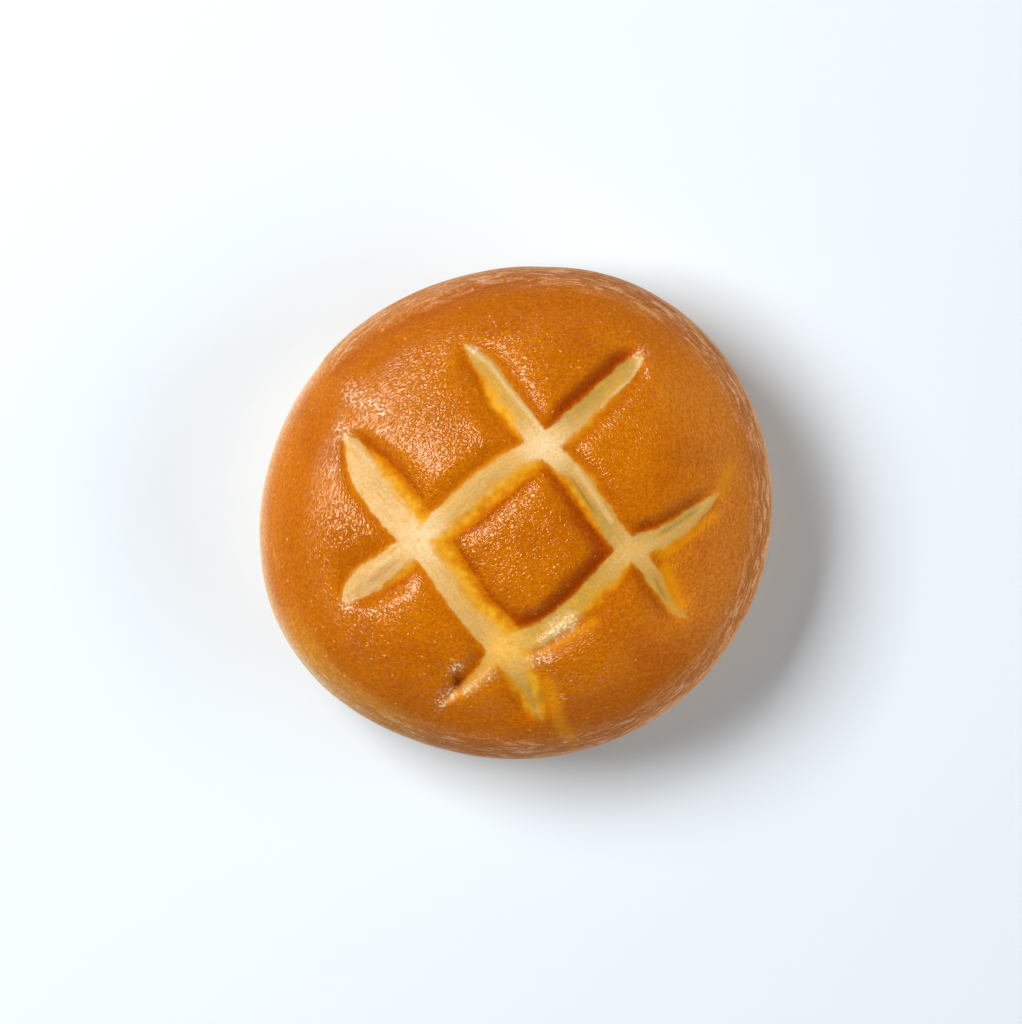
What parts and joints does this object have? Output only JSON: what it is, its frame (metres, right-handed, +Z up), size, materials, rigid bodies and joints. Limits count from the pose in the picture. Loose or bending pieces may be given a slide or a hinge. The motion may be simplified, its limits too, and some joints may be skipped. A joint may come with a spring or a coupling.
{
  "type": "melon pan bun",
  "caption": "Round, uncut, egg-washed bread bun with crossing cuts baked open in its crown and a flat base.",
  "frame": {"origin": "on the flat base, under the middle of the bun's outline", "axes": "+Z up through the crown; +X across the longer width and +Y across the shorter width, seen from above"},
  "size_m": [0.1094, 0.105, 0.0455],
  "materials": {
    "crust": "egg-washed bread crust, golden brown with a satin gloss; paler soft crumb where the cuts opened"
  },
  "bodies": {
    "root": {"bun": "crust"}
  },
  "joints": []
}
